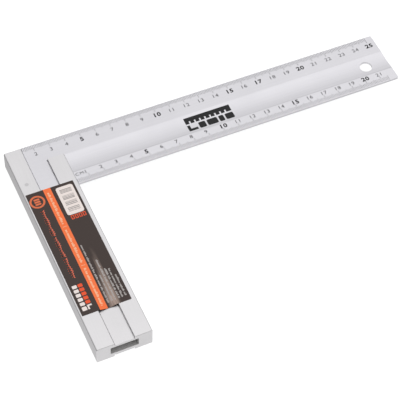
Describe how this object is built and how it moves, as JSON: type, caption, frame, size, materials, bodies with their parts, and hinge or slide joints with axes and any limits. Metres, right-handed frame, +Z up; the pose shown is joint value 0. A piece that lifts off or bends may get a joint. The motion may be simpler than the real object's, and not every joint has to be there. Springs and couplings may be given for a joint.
{
  "type": "try square",
  "caption": "Joiner's try square: a satin aluminium blade with printed centimetre scales set at a right angle in a hollow grooved aluminium stock with a printed label.",
  "frame": {"origin": "centre of the underside of the whole square's box, on the surface that the stock lies on", "axes": "+X along the blade towards its tip, +Y along the stock towards the outer corner, +Z up out of the printed faces"},
  "size_m": [0.2536, 0.152, 0.0131],
  "materials": {
    "stock_metal": "satin silver anodised",
    "blade_metal": "satin silver anodised",
    "pin_metal": "ground flush",
    "label_film": "printed film, semi-gloss",
    "scale_ink": "black screen print"
  },
  "bodies": {
    "root": {"stock": "stock_metal", "blade": "blade_metal", "tail_pins": "pin_metal", "label": "label_film"}
  },
  "joints": []
}
